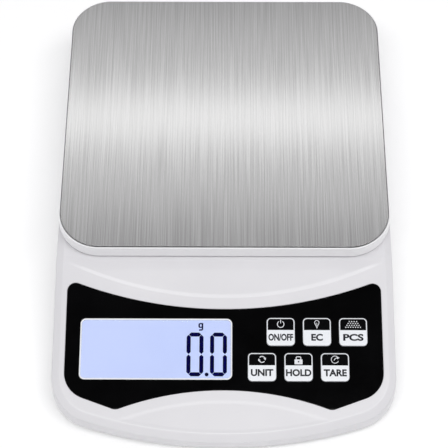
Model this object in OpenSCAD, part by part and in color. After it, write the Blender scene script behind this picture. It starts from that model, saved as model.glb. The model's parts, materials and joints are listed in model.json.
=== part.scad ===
// Digital gram scale: a sloped-front housing with a weighing platform on a
// single-point load cell, a lit display and six push keys.
// Origin: centre of the footprint on the table. X right, Y to the back, Z up.

/* [Housing] */
// Width of the housing at its foot
body_w = 164.6; // [163:0.2:172]
// Length of the housing, front to back
body_l = 244; // [240:1:256]
// Height of the flat deck under the platform
deck_z = 29.2; // [28.8:0.1:30]
// Underside of the bottom cover, where the feet leave it
base_z = 2.5; // [2.2:0.1:3]
// Height of the joint between the two covers
seam_z = 5; // [4.8:0.1:5.4]
// Radius of the bowed front edge
bow_r = 222; // [200:1:260]
// Radius of the two front corners
front_corner_r = 23; // [20:1:28]
// Radius of the two back corners
back_corner_r = 22; // [18:1:26]
// Wall thickness of the covers
wall = 2.2; // [1.8:0.1:2.4]
// How far the walls lean in, from foot to edge
lean = 0.5; // [0.2:0.1:1]
// Width of the sloped band around the top, in plan
edge_w = 3.6; // [2.5:0.1:4.5]
// Height lost across the sloped band
edge_drop = 1.6; // [1:0.1:2]

/* [Platform] */
// Width of the steel weighing plate
plate_w = 160; // [150:1:162]
// Length of the steel weighing plate
plate_l = 150; // [144:1:152]
// Corner radius of the weighing plate
plate_r = 19.5; // [15:0.5:22]
// Thickness of the steel sheet
plate_t = 0.8; // [0.5:0.1:1]
// Height of the weighing surface above the table
plate_z = 38; // [37.8:0.1:39]
// Middle of the platform, along Y
platform_y = 43; // [41:0.5:43.5]
// Width of the tray's rim around the plate
rim = 1.3; // [1:0.1:2]
// Height of the tray's lower edge
tray_z = 30.4; // [30.2:0.1:31.4]

/* [Sloped panel] */
// Slope of the front panel, in degrees
slope = 11.5; // [11:0.1:12]
// Where the deck bends down into the slope, along Y
bend_y = -36.5; // [-38:0.5:-36]
// Height of the step at the curved crease above the panel
step = 0.8; // [0.4:0.1:1]
// Half width of the black panel
panel_half_w = 75.65; // [75.5:0.05:76]
// Depth of the pocket that holds the black panel
pocket = 0.6; // [0.5:0.1:0.7]
// Thickness of the black panel
panel_t = 0.5; // [0.4:0.05:0.55]

/* [Display] */
// Width of the display opening
lcd_w = 72.6; // [70:0.1:73.4]
// Height of the display opening, along the slope
lcd_h = 29.8; // [28:0.1:31]
// Width of the white bezel around the display
bezel = 0.7; // [0.5:0.1:1]

/* [Keys] */
// Width of a key
key_w = 13.4; // [12:0.1:13.8]
// Height of a key, along the slope
key_h = 13.6; // [12:0.1:14]
// Distance between neighbouring keys
key_pitch = 17.3; // [17:0.1:17.6]
// Gap between a key and its opening
key_gap = 0.2; // [0.15:0.05:0.3]
// How far a key stands proud of the housing
key_proud = 0.5; // [0.3:0.1:0.8]
// Travel of a key, held free below it
key_travel = 0.4; // [0.3:0.05:0.45]

/* [Load cell] */
// Length of the load cell bar
cell_l = 80; // [75:1:82]
// Width and height of the load cell bar
cell_h = 12.7; // [12:0.1:12.7]
// Radius of the two flexure bores
flexure_r = 4.6; // [4:0.1:5]

/* [Hidden] */
$fn = 48;
eps = 0.01;
fit = 0.05;              // running clearance of a pin or screw in its hole

// ---- places that follow from the driving dimensions
floor_t = 3;             // bottom cover's floor
floor_z = base_z + floor_t;
lip_z = 7;               // top of the bottom cover's locating lip
post_z = 10;             // top of the bottom cover's screw posts
post_r = 4;
bow_y = -body_l / 2 + bow_r;
front_x = body_w / 2 - front_corner_r;
front_y = bow_y - sqrt(pow(bow_r - front_corner_r, 2) - pow(front_x, 2));
bow_angle = asin(front_x / (bow_r - front_corner_r));
back_x = body_w / 2 - back_corner_r;
back_y = body_l / 2 - back_corner_r;
bend_z = deck_z - step;  // height of the sloped panel at the bend

lcd_x = -32.35;
lcd_y = -42.3;
lcd_r = 2.6;             // corner radius of the bezel
lens_w = lcd_w - 2 * bezel - 0.1;
lens_h = lcd_h - 2 * bezel - 0.1;
lens_r = lcd_r - bezel;
lcd_z = -1.2;            // upper face of the display glass
light_z = -3;            // its lower face, on the light guide
lcd_ledge_z = -2.1;      // lower face of its long edges, on the elastomer strips
connector_strip = 4;     // left free at the glass's long edges for the elastomer strips
connector_l = 60;
connector_w = 1.6;
key_r = 2;
key_row_1 = -33.85;
key_row_2 = -51.1;
key_x_1 = 27.1;
key_x_2 = 18.1;
KEYS = [for (row = [0, 1], col = [0:2])
    [(row == 0 ? key_x_1 : key_x_2) + col * key_pitch, row == 0 ? key_row_1 : key_row_2]];

flange_z = -wall - 0.1;  // top of a key's flange, just under the cover
flange_t = 1;
plunger_z = -3.9;        // where a key's stem meets the switch plunger
plunger_h = 1.6;
plunger_r = 1.75;
switch_z = -4.6;         // top of a switch body
board_z = -8;            // top of the main board
board_t = 1.2;
board_half_w = 75;
board_back = -25;
board_front = -60;
BOARD_SCREWS = [[8, -28], [8, -57.4], [-72.6, -42], [72.6, -42]];

cell_z = 7.5;
cell_top = cell_z + cell_h;
cell_hole = 6;           // half the distance between the two screws at one end
cell_end = cell_l / 2 - 12;
FREE_Y = platform_y - cell_end;
FIXED_Y = platform_y + cell_end;
flexure_y = 7;
plinth_w = 26;
plinth_l = 22;
cell_screw_r = 2;
cell_screw_depth = 8;
plinth_gap = 4;          // between the plinth and its opening in the deck
gauge_l = 28;
gauge_t = 1;

tray_w = plate_w + 2 * rim;
tray_l = plate_l + 2 * rim;
tray_r = plate_r + rim;
tray_wall = 2.5;
tape_t = 0.3;
tray_top = plate_z - 0.4;
tray_floor = plate_z - plate_t - tape_t;
tray_under = tray_floor - 2;
pad_t = 0.8;
pad_r = 6;
support_top = tray_under - pad_t;
support_z = deck_z + 1.4;
arm_w = 14;
arm_end_r = 9;
tape_w = 50;
tape_l = 40;
ARM_X = 56;
ARM_Y = 50;

bay_x = 48;              // middle of the battery bay
bay_y = 42;
bay_w = 36;
bay_l = 52;
bay_top = 17.2;
bay_wall = 1.4;
cell_d = 10.5;           // AAA cell
battery_l = 44.5;
battery_pitch = 11;
battery_z = 10.4;
contact_w = 9;
contact_t = 0.4;
door_t = 2;
door_z = base_z + 0.1;
hinge_y = bay_y - bay_l / 2 + 1.3;
hinge_z = door_z + door_t / 2;
hinge_pin_r = 0.7;

HOUSING_SCREWS = [[-73, -54], [73, -54], [-73, 22], [73, 22], [-68, 104], [68, 104]];
screw_r = 1.5;
FEET = [[-56, -92], [56, -92], [-52, 104], [52, 104]];
foot_r = 7;

// ---- outlines
function arc(cx, cy, r, from, to, steps) =
    [for (i = [0:steps]) let (a = from + (to - from) * i / steps) [cx + r * cos(a), cy + r * sin(a)]];

// outline of the housing, moved inwards by inset
function body_points(inset) = concat(
    arc(0, bow_y, bow_r - inset, 270 - bow_angle, 270 + bow_angle, 12),
    arc(front_x, front_y, front_corner_r - inset, -89.9 + bow_angle, 0, 8),
    arc(back_x, back_y, back_corner_r - inset, 0, 90, 8),
    arc(-back_x, back_y, back_corner_r - inset, 90, 180, 8),
    arc(-front_x, front_y, front_corner_r - inset, 180, 269.9 - bow_angle, 8));

module body_outline(inset) {
    polygon(body_points(inset));
}

module thin_slab(inset) {
    linear_extrude(eps) body_outline(inset);
}

// carries a flat slab up to the deck, or leans it onto the slope in front of the bend
module lifted(drop, rise) {
    multmatrix([[1, 0, 0, 0], [0, 1, 0, 0],
                [0, rise, 1, deck_z - drop - eps - rise * bend_y], [0, 0, 0, 1]])
        children();
}

// block with the body's walls and sloped band, under a flat or a leaning top;
// depth is the height lost across the band
module block(inset, drop, bottom, rise, depth) {
    hull() {
        translate([0, 0, bottom]) thin_slab(inset);
        lifted(drop + depth, rise) thin_slab(inset + lean);
        lifted(drop, rise) thin_slab(inset + lean + edge_w * depth / edge_drop);
    }
}

// the housing as a full block: the deck, and the slope that cuts down its front,
// where the step at the crease lowers the band as well
module housing_block(inset, drop, bottom) {
    intersection() {
        block(inset, drop, bottom, 0, edge_drop);
        block(inset, drop, bottom, tan(slope), edge_drop + step);
    }
}

// frame of the sloped panel: x right, y up the slope, z out of the panel
module on_panel() {
    translate([0, bend_y, bend_z]) rotate([slope, 0, 0]) children();
}

module round_rect(w, l, r) {
    union() {
        square([w - 2 * r, l], center = true);
        square([w, l - 2 * r], center = true);
        for (x = [-1, 1], y = [-1, 1])
            translate([x * (w / 2 - r), y * (l / 2 - r)]) circle(r = r);
    }
}

module round_block(w, l, r, z0, z1) {
    translate([0, 0, z0]) linear_extrude(z1 - z0) round_rect(w, l, r);
}

crease_y = -16.35;       // the smile-shaped crease, at its middle
crease_r = 173;
panel_top_y = -22.65;    // the black panel's upper edge, at its middle
panel_top_r = 200;
panel_low_y = -62.25;    // the black panel's lower edge, at its middle
panel_low_r = 141;
panel_corner_r = 4;
panel_side_r = 13.2;
panel_side_y = -53.6;
panel_lobe_r = 5;
panel_lobe_x = 51;

// outline of the black panel: two side lobes, hollow upper and lower edges
module panel_outline(grow) {
    corner_x = panel_half_w - panel_corner_r;
    corner_y = panel_top_y + panel_top_r - sqrt(pow(panel_top_r + panel_corner_r, 2) - pow(corner_x, 2));
    lobe_y = panel_low_y - panel_low_r + sqrt(pow(panel_low_r + panel_lobe_r, 2) - pow(panel_lobe_x, 2));
    difference() {
        hull() for (side = [-1, 1]) {
            translate([side * corner_x, corner_y]) circle(r = panel_corner_r + grow);
            translate([side * (panel_half_w - panel_side_r), panel_side_y]) circle(r = panel_side_r + grow);
            translate([side * panel_lobe_x, lobe_y]) circle(r = panel_lobe_r + grow);
        }
        translate([0, panel_top_y + panel_top_r]) circle(r = panel_top_r - grow, $fn = 240);
        translate([0, panel_low_y - panel_low_r]) circle(r = panel_low_r - grow, $fn = 200);
    }
}

// everything in front of the curved crease
module crease_region() {
    difference() {
        translate([-body_w, -120]) square([2 * body_w, 140]);
        translate([0, crease_y + crease_r]) circle(r = crease_r, $fn = 200);
    }
}

dish_high_y = -66.7;
dish_high_r = 138;
dish_low_y = -83.1;
dish_low_r = 216;
dish_depth = 0.3;

// the lens-shaped dish in front of the black panel
module dish() {
    intersection() {
        translate([0, dish_high_y - dish_high_r]) circle(r = dish_high_r, $fn = 200);
        translate([0, dish_low_y + dish_low_r]) circle(r = dish_low_r, $fn = 240);
    }
}

// ---- covers
module top_cover() {
    color("white") difference() {
        union() {
            difference() {
                housing_block(0, 0, seam_z);
                housing_block(wall, wall + step, seam_z - 1);
            }
            for (p = HOUSING_SCREWS) translate([p[0], p[1], post_z + 0.2])
                cylinder(r = post_r, h = deck_z - post_z - (p[1] < bend_y ? 5.2 : 1.2));
            for (p = BOARD_SCREWS) on_panel() translate([p[0], p[1], board_z])
                cylinder(r = 2.2, h = -board_z - 1);
        }
        on_panel() linear_extrude(5) crease_region();
        on_panel() translate([0, 0, -pocket]) linear_extrude(5) panel_outline(0.1);
        on_panel() translate([0, 0, -dish_depth]) linear_extrude(5) dish();
        on_panel() translate([lcd_x, lcd_y, 0]) round_block(lcd_w + 0.2, lcd_h + 0.2, lcd_r + 0.1, -6, 1);
        for (p = KEYS) on_panel() translate([p[0], p[1], 0])
            round_block(key_w + 2 * key_gap, key_h + 2 * key_gap, key_r + key_gap, -6, 1);
        for (p = HOUSING_SCREWS) translate([p[0], p[1], post_z - 1]) cylinder(r = screw_r + fit, h = 8);
        for (p = BOARD_SCREWS) on_panel() translate([p[0], p[1], board_z - 1]) cylinder(r = 1 + fit, h = 6);
        translate([0, FREE_Y, 0])
            round_block(plinth_w + 2 * plinth_gap, plinth_l + 2 * plinth_gap, 3, deck_z - 10, deck_z + 5);
    }
}

module screw_seat(r, head_r, head_z) {
    translate([0, 0, -1]) cylinder(r = head_r, h = head_z + 1);
    cylinder(r = r + 0.2, h = post_z + 4);
}

module bottom_cover() {
    color("gainsboro") difference() {
        union() {
            translate([0, 0, base_z]) linear_extrude(seam_z - base_z) body_outline(1.2);
            translate([0, 0, seam_z - eps]) linear_extrude(floor_z - seam_z + eps) body_outline(wall + 0.9);
            translate([0, 0, floor_z]) linear_extrude(lip_z - floor_z) difference() {
                body_outline(wall + 1.2);
                body_outline(wall + 2.7);
            }
            for (p = HOUSING_SCREWS) translate([p[0], p[1], base_z])
                cylinder(r = post_r, h = post_z - base_z);
            translate([0, platform_y, 0]) round_block(cell_h + 16, cell_l + 14, 3, base_z, cell_z - 2);
            translate([0, FREE_Y, base_z]) cylinder(r = post_r, h = cell_z - 1.6 - base_z);
            bay_walls();
        }
        for (p = HOUSING_SCREWS) translate([p[0], p[1], base_z]) screw_seat(screw_r, 3, 2.2);
        for (y = [-cell_hole, cell_hole]) translate([0, FIXED_Y + y, base_z])
            screw_seat(cell_screw_r, 4, 1.4);
        translate([0, FREE_Y, base_z - 1]) cylinder(r = cell_screw_r + fit, h = 20);
        for (p = FEET) translate([p[0], p[1], base_z - 1]) cylinder(r = foot_r + fit, h = 1 + 0.8);
        translate([bay_x, bay_y, 0]) round_block(bay_w + 0.6, bay_l + 0.6, 1, base_z - 1, door_z + door_t);
        translate([bay_x, bay_y, 0]) round_block(bay_w - 1, bay_l - 4, 1, base_z, bay_top - bay_wall);
        translate([bay_x - bay_w / 2 - 2, hinge_y, hinge_z]) rotate([0, 90, 0])
            cylinder(r = hinge_pin_r + fit, h = bay_w + 4);
        translate([bay_x, bay_y + bay_l / 2 + 1.4, 0]) round_block(12, 5, 1, base_z - 1, door_z + 1.2);
    }
}

module bay_walls() {
    translate([bay_x, bay_y, 0])
        round_block(bay_w - 1 + 2 * bay_wall, bay_l - 4 + 2 * bay_wall, 2, floor_z - eps, bay_top);
}

module battery_door() {
    color("gainsboro") difference() {
        union() {
            translate([bay_x, bay_y, 0]) difference() {
                round_block(bay_w, bay_l, 0.8, door_z, door_z + door_t);
                translate([0, -bay_l / 2, 0]) cube([bay_w + 2, 2.6, 20], center = true);
            }
            translate([bay_x - bay_w / 2 + 0.4, hinge_y, hinge_z]) rotate([0, 90, 0])
                cylinder(r = door_t / 2, h = bay_w - 0.8);
            translate([bay_x - bay_w / 2 - 1.4, hinge_y, hinge_z]) rotate([0, 90, 0])
                cylinder(r = hinge_pin_r, h = bay_w + 2.8);
            translate([bay_x, bay_y + bay_l / 2 + 0.4, 0]) round_block(11, 5, 0.8, door_z, door_z + 1);
        }
        for (i = [0:3]) translate([bay_x, bay_y + bay_l / 2 - 4 - 2 * i, door_z])
            cube([14 - 3 * i, 0.8, 0.8], center = true);
    }
}

module foot(p) {
    color("dimgray") translate([p[0], p[1], 0]) difference() {
        cylinder(r = foot_r, h = base_z + 0.8);
        translate([0, 0, -1]) cylinder(r = foot_r - 3, h = 1.6);
    }
}

module pan_screw(r, head_r, head_t, length) {
    difference() {
        union() {
            cylinder(r = head_r, h = head_t);
            cylinder(r = r, h = length);
        }
        for (a = [0, 90]) rotate(a) cube([head_r, 0.7, 1.6], center = true);
    }
}

module housing_screws() {
    color("silver") for (p = HOUSING_SCREWS)
        translate([p[0], p[1], base_z + 0.2]) pan_screw(screw_r, 2.8, 2, 13);
}

// ---- display and panel
module front_panel() {
    color([0.03, 0.03, 0.03]) on_panel() difference() {
        translate([0, 0, -pocket]) linear_extrude(panel_t) panel_outline(0);
        translate([lcd_x, lcd_y, 0]) round_block(lcd_w + fit, lcd_h + fit, lcd_r + fit / 2, -6, 1);
        for (p = KEYS) translate([p[0], p[1], 0])
            round_block(key_w + 2 * key_gap, key_h + 2 * key_gap, key_r + key_gap, -6, 1);
    }
}

module on_display() {
    on_panel() translate([lcd_x, lcd_y, 0]) children();
}

module display_bezel() {
    color("white") on_display() difference() {
        union() {
            round_block(lcd_w, lcd_h, lcd_r, -wall - 0.1, -0.05);
            round_block(lcd_w + 2.4, lcd_h + 1.4, lcd_r, -wall - 0.9, -wall - 0.1);
        }
        round_block(lcd_w - 2 * bezel, lcd_h - 2 * bezel, lens_r + fit, -8, 1);
    }
}

module display_window() {
    color([0.8, 0.85, 1, 0.4]) on_display() round_block(lens_w, lens_h, lens_r, lcd_z + 0.1, -0.1);
}

module lcd_glass() {
    color([0.77, 0.83, 0.98]) on_display() {
        round_block(lens_w, lens_h, lens_r, lcd_ledge_z, lcd_z);
        round_block(lens_w, lens_h - connector_strip, lens_r, light_z, lcd_ledge_z);
    }
}

module lcd_backlight() {
    color("white") on_display()
        round_block(lens_w, lens_h - connector_strip, lens_r, board_z + 0.1, light_z - fit);
}

module lcd_connector() {
    color("hotpink") on_display() for (side = [-1, 1])
        translate([-connector_l / 2, side * (lcd_h / 2 - bezel - 1) - connector_w / 2, board_z + fit])
            cube([connector_l, connector_w, lcd_ledge_z - board_z - 2 * fit]);
}

module main_board() {
    color("darkgreen") on_panel() difference() {
        translate([-board_half_w, board_front, board_z - board_t])
            cube([2 * board_half_w, board_back - board_front, board_t - fit]);
        for (p = BOARD_SCREWS) translate([p[0], p[1], board_z - 5]) cylinder(r = 1.2, h = 6);
    }
}

module main_chip() {
    color([0.1, 0.1, 0.1]) on_panel() translate([-32, -38, board_z - board_t - 1.6]) {
        cube([12, 12, 1.55]);
        for (i = [0:6]) {
            translate([-1.4, 1.3 + i * 1.5, 0.8]) cube([1.4, 0.5, 0.5]);
            translate([12, 1.3 + i * 1.5, 0.8]) cube([1.4, 0.5, 0.5]);
        }
    }
}

module board_parts() {
    on_panel() translate([0, 0, board_z - board_t]) {
        color("silver") translate([-12, -34, -2.6]) cube([8, 3.5, 2.55]);
        color("navy") for (x = [20, 30]) translate([x, -32, -3.4]) cylinder(r = 2.4, h = 3.35);
        color("ivory") for (x = [44, 58]) translate([x, -33, -4]) cube([8, 5, 3.95]);
        color("tan") for (i = [0:4]) translate([-2 + 4 * i, -42, -0.9]) cube([2, 1.2, 0.85]);
    }
}

module board_screws() {
    color("silver") on_panel() for (p = BOARD_SCREWS)
        translate([p[0], p[1], board_z - board_t - 1.4]) pan_screw(1, 1.9, 1.3, 5.4);
}

module key_switches() {
    color([0.15, 0.15, 0.15]) on_panel() for (p = KEYS) translate([p[0], p[1], 0]) difference() {
        translate([-3, -3, board_z]) cube([6, 6, switch_z - board_z]);
        translate([0, 0, plunger_z - plunger_h - key_travel - 0.1]) cylinder(r = plunger_r + fit, h = 3);
    }
}

module plunger(index) {
    color("gold") on_panel() translate([KEYS[index][0], KEYS[index][1], plunger_z - plunger_h])
        cylinder(r = plunger_r, h = plunger_h);
}

// key cap with its retaining flange and stem
module key(index) {
    color("whitesmoke") on_panel() translate([KEYS[index][0], KEYS[index][1], 0]) {
        round_block(key_w, key_h, key_r, flange_z, key_proud);
        round_block(key_w + 1.8, key_h + 1.8, key_r, flange_z - flange_t, flange_z);
        translate([0, 0, plunger_z]) cylinder(r = 2, h = flange_z - flange_t - plunger_z + eps);
    }
}

// ---- load cell
module load_cell() {
    color("lightgray") difference() {
        translate([-cell_h / 2, platform_y - cell_l / 2, cell_z]) cube([cell_h, cell_l, cell_h]);
        for (side = [-1, 1]) translate([-cell_h, platform_y + side * flexure_y, cell_z + cell_h / 2])
            rotate([0, 90, 0]) cylinder(r = flexure_r, h = 2 * cell_h);
        translate([-cell_h, platform_y - flexure_y, cell_z + cell_h / 2 - 2])
            cube([2 * cell_h, 2 * flexure_y, 4]);
        for (y = [-cell_hole, cell_hole]) {
            translate([0, FREE_Y + y, cell_top - cell_screw_depth])
                cylinder(r = cell_screw_r + fit, h = 20);
            translate([0, FIXED_Y + y, cell_z - 1])
                cylinder(r = cell_screw_r + fit, h = cell_screw_depth + 1);
        }
    }
}

module gauge_covers() {
    color("white") translate([-cell_h / 2 + 1, platform_y - gauge_l / 2, 0]) {
        translate([0, 0, cell_top]) cube([cell_h - 2, gauge_l, gauge_t]);
        translate([0, 0, cell_z - gauge_t]) cube([cell_h - 2, gauge_l, gauge_t]);
    }
}

module load_cell_base_plate() {
    color("silver") difference() {
        translate([0, FIXED_Y, 0]) round_block(cell_h + 8, 24, 2, cell_z - 2, cell_z);
        for (y = [-cell_hole, cell_hole]) translate([0, FIXED_Y + y, 0])
            cylinder(r = cell_screw_r + 0.2, h = 20);
    }
}

module load_cell_base_screws() {
    color("silver") for (y = [-cell_hole, cell_hole])
        translate([0, FIXED_Y + y, base_z + 0.1]) pan_screw(cell_screw_r, 3.7, 1.3, 11);
}

module overload_stop() {
    color("silver") translate([0, FREE_Y, base_z + 0.5]) difference() {
        cylinder(r = cell_screw_r, h = cell_z - 1.3 - base_z);
        cylinder(r = 1.1, h = 2.4, center = true, $fn = 6);
    }
}

// ---- wiring
// a ring of points square to the run of a wire
function ring(p, along, r, sides) =
    let (t = along / norm(along),
         u0 = cross(abs(t[2]) > 0.9 ? [1, 0, 0] : [0, 0, 1], t),
         u = u0 / norm(u0),
         v = cross(t, u))
    [for (i = [0:sides - 1]) let (a = 360 * i / sides) p + r * (cos(a) * u + sin(a) * v)];

module wire(points, r, sides) {
    last = len(points) - 1;
    rings = [for (i = [0:last])
        ring(points[i], points[min(i + 1, last)] - points[max(i - 1, 0)], r, sides)];
    polyhedron(
        points = [for (one = rings) each one],
        faces = concat(
            [[for (i = [0:sides - 1]) i]],
            [for (i = [0:last - 1], k = [0:sides - 1]) let (n = (k + 1) % sides)
                [i * sides + k, (i + 1) * sides + k, (i + 1) * sides + n, i * sides + n]],
            [[for (i = [sides - 1:-1:0]) last * sides + i]]));
}

// smooth run through a few hand-placed points
function smooth_run(p, steps) =
    let (last = len(p) - 1)
    [for (i = [0:last - 1], k = [0:steps - 1]) let (
        t = k / steps,
        a = p[max(i - 1, 0)], b = p[i], c = p[i + 1], d = p[min(i + 2, last)])
        0.5 * (2 * b + (c - a) * t + (2 * a - 5 * b + 4 * c - d) * t * t
               + (3 * b - 3 * c + d - a) * t * t * t),
     p[last]];

CELL_CABLE = [[-2, 36, 22.7], [-9, 34, 22.2], [-13, 28, 15], [-14, 10, 9], [-12, -20, 8], [0, -40, 8],
              [24, -48, 9], [42, -51, 10.6], [48, -56.5, 11.8], [48, -61.4, 12]];
BATTERY_LEADS = [[62, 16.5, 12], [62, 10, 12], [62, -4, 10], [61, -20, 8], [62, -40, 9],
                 [63.2, -54, 11.6], [63.2, -61.4, 12]];

module load_cell_cable() {
    color("gray") wire(smooth_run(CELL_CABLE, 3), 1.2, 8);
}

module battery_leads() {
    color("firebrick") wire(smooth_run(BATTERY_LEADS, 3), 0.9, 8);
    color("black") translate([-2.4, 0, 0]) wire(smooth_run(BATTERY_LEADS, 3), 0.9, 8);
}

// ---- batteries
function battery_x(i) = bay_x + (i - 1) * battery_pitch;

// cells alternate: the middle one lies the other way round
module battery(i) {
    turn = i == 1 ? 180 : 0;
    translate([battery_x(i), bay_y, battery_z]) rotate([0, 0, turn]) rotate([-90, 0, 0]) {
        color("darkorange") translate([0, 0, -battery_l / 2]) cylinder(r = cell_d / 2, h = battery_l - 1);
        color("silver") translate([0, 0, battery_l / 2 - 1]) cylinder(r = 1.9, h = 1);
    }
}

function spring_turns(r0, r1, length, turns, steps) =
    [for (i = [0:turns * steps]) let (t = i / (turns * steps), a = 360 * i / steps)
        [(r0 + (r1 - r0) * t) * cos(a), (r0 + (r1 - r0) * t) * sin(a), length * t]];

module battery_springs() {
    color("silver") for (i = [0:2]) {
        end = i == 1 ? 1 : -1;
        translate([battery_x(i), bay_y + end * (battery_l / 2 + 1.25), battery_z]) rotate([end * 90, 0, 0])
            translate([0, 0, 0.2]) wire(spring_turns(3.6, 2, 0.8, 2, 10), 0.2, 6);
    }
}

module battery_contacts() {
    color("silver") for (end = [-1, 1], i = [0:2])
        translate([battery_x(i) - contact_w / 2, bay_y + end * (bay_l / 2 - 2.25) - contact_t / 2,
                   battery_z - contact_w / 2]) cube([contact_w, contact_t, contact_w]);
}

// ---- platform
module platform_support() {
    color("white") difference() {
        union() {
            translate([0, FREE_Y, 0]) round_block(plinth_w, plinth_l, 2, cell_top, support_top);
            translate([0, platform_y, 0]) round_block(40, 84, 4, support_z, support_top);
            for (x = [-1, 1], y = [-1, 1]) arm(x * ARM_X, y * ARM_Y);
        }
        for (y = [-cell_hole, cell_hole]) translate([0, FREE_Y + y, 0]) {
            cylinder(r = cell_screw_r + 0.2, h = 60);
            translate([0, 0, cell_top + 4]) cylinder(r = 4.2, h = 30);
        }
        for (x = [-1, 1]) translate([x * 10, platform_y + 16, 0]) round_block(12, 34, 3, 0, 60);
    }
}

// one arm of the support, from its middle to a pad
module arm(x, y) {
    length = norm([x, y]);
    translate([0, platform_y, support_z]) rotate(atan2(y, x)) {
        translate([10, -arm_w / 2, 0]) cube([length - 10, arm_w, support_top - support_z]);
        translate([length, 0, 0]) cylinder(r = arm_end_r, h = support_top - support_z);
    }
}

module platform_screws() {
    color("silver") for (y = [-cell_hole, cell_hole])
        translate([0, FREE_Y + y, cell_top + 6.3]) rotate([180, 0, 0])
            pan_screw(cell_screw_r, 3.9, 2.2, 13);
}

module platform_pads() {
    color("dimgray") for (x = [-1, 1], y = [-1, 1])
        translate([x * ARM_X, platform_y + y * ARM_Y, support_top]) cylinder(r = pad_r, h = pad_t);
}

module platform_tray() {
    color("white") translate([0, platform_y, 0]) difference() {
        round_block(tray_w, tray_l, tray_r, tray_z, tray_top);
        round_block(plate_w + 0.2, plate_l + 0.2, plate_r + 0.1, tray_floor, tray_top + 1);
        round_block(tray_w - 2 * tray_wall, tray_l - 2 * tray_wall, tray_r - tray_wall,
                    tray_z - 1, tray_under);
    }
}

module plate_tape() {
    color("tan") translate([0, platform_y, 0]) for (x = [-1, 1], y = [-1, 1])
        translate([x * 45, y * 42, 0]) round_block(tape_w, tape_l, 2, tray_floor, tray_floor + tape_t);
}

module weighing_plate() {
    color("silver") translate([0, platform_y, 0])
        round_block(plate_w, plate_l, plate_r, plate_z - plate_t, plate_z);
}

bottom_cover();
top_cover();
front_panel();
display_bezel();
display_window();
lcd_glass();
lcd_backlight();
lcd_connector();
main_board();
main_chip();
board_parts();
board_screws();
key_switches();
load_cell();
gauge_covers();
load_cell_base_plate();
load_cell_base_screws();
overload_stop();
load_cell_cable();
battery_leads();
battery_springs();
battery_contacts();
battery(0);  // battery_left
battery(1);  // battery_middle
battery(2);  // battery_right
housing_screws();
foot(FEET[0]);  // foot_front_left
foot(FEET[1]);  // foot_front_right
foot(FEET[2]);  // foot_back_left
foot(FEET[3]);  // foot_back_right
platform_support();
platform_screws();
platform_pads();
platform_tray();
plate_tape();
weighing_plate();
key(0);  // key_on_off
key(1);  // key_ec
key(2);  // key_pcs
key(3);  // key_unit
key(4);  // key_hold
key(5);  // key_tare
plunger(0);  // plunger_on_off
plunger(1);  // plunger_ec
plunger(2);  // plunger_pcs
plunger(3);  // plunger_unit
plunger(4);  // plunger_hold
plunger(5);  // plunger_tare
battery_door();
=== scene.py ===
"""Looks of the digital gram scale: housing, sloped panel, display, keys and platform.

Lengths are in millimetres (MM turns them into metres), except for the lights and the floor.
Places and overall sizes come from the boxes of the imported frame.
The sloped panel has its own frame: x to the right, s up the slope, n out of the panel.
"""
import json
from math import asin, atan2, cos, degrees, hypot, pi, radians, sin, sqrt, tan

import bmesh
import bpy
import numpy as np
from mathutils import Matrix, Vector
from mathutils.geometry import delaunay_2d_cdt


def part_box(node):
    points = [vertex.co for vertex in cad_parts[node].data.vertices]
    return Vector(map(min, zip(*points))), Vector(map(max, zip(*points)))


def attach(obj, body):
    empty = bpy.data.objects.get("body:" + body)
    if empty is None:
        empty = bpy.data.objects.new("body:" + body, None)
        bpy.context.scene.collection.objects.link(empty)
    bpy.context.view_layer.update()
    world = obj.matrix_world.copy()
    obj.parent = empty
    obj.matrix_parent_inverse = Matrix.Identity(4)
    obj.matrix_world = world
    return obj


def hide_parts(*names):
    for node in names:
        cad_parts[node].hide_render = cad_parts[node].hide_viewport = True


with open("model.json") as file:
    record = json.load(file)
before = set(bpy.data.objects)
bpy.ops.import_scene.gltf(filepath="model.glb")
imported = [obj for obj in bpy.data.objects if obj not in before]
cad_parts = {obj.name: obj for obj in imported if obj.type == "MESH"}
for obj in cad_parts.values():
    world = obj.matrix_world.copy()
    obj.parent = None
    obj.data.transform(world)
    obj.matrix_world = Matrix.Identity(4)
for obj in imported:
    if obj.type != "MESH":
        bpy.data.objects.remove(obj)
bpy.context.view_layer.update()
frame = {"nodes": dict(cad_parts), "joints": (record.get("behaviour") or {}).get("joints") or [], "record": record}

MM = 0.001


def box_mm(node):
    low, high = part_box(node)
    return low / MM, high / MM


# ---------------------------------------------------------------- driving sizes
COVER_LOW, COVER_HIGH = box_mm("top_cover")
BODY_W = COVER_HIGH.x - COVER_LOW.x
FRONT_Y, BACK_Y = COVER_LOW.y, COVER_HIGH.y
DECK_Z, SEAM_Z = COVER_HIGH.z, COVER_LOW.z
WALL = 2.2

# the cover's outline from above: a bowed front edge, and two sizes of corner
BOW_R = 222
FRONT_CORNER_R = 23
BACK_CORNER_R = 22

# the wall leans in, and a sloped band runs along its upper edge
LEAN = 0.5
EDGE_W = 3.6
EDGE_DROP = 1.6
EDGE_OUTER_ROUND = 0.55
EDGE_INNER_ROUND = 0.5

# the crease: the slope lies STEP under the deck's bend, and CREASE_STEP of that is left at the crease
STEP = 0.8
CREASE_WIDTH = 1.9
CREASE_STEP = 0.42
CREASE_FADE_WIDTH = 14
STEP_FADE_START, STEP_FADE_LENGTH = 14, 12

# the pocket that the black panel lies in
POCKET = 0.6
POCKET_GAP = 0.1
POCKET_ROUND = 0.18
PANEL_ROUND = 0.22
PANEL_TOP_N = -0.1
PANEL_OPENING_GAP = 0.02

# the opening in the deck for the plinth of the platform's support
PLINTH_OPENING = (34, 30)
PLINTH_OPENING_R = 3
PLINTH_OPENING_CENTRE = (0, 15)

KEY_AXIS = next(j for j in frame["joints"] if j["name"] == "tare_press")["axis"]
SLOPE = atan2(KEY_AXIS[1], -KEY_AXIS[2])
RISE = tan(SLOPE)
BEND_FROM_FRONT = 85.5
BEND_Y = FRONT_Y + BEND_FROM_FRONT
BEND_Z = DECK_Z - STEP
BEND_HALF = 4.0

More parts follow.
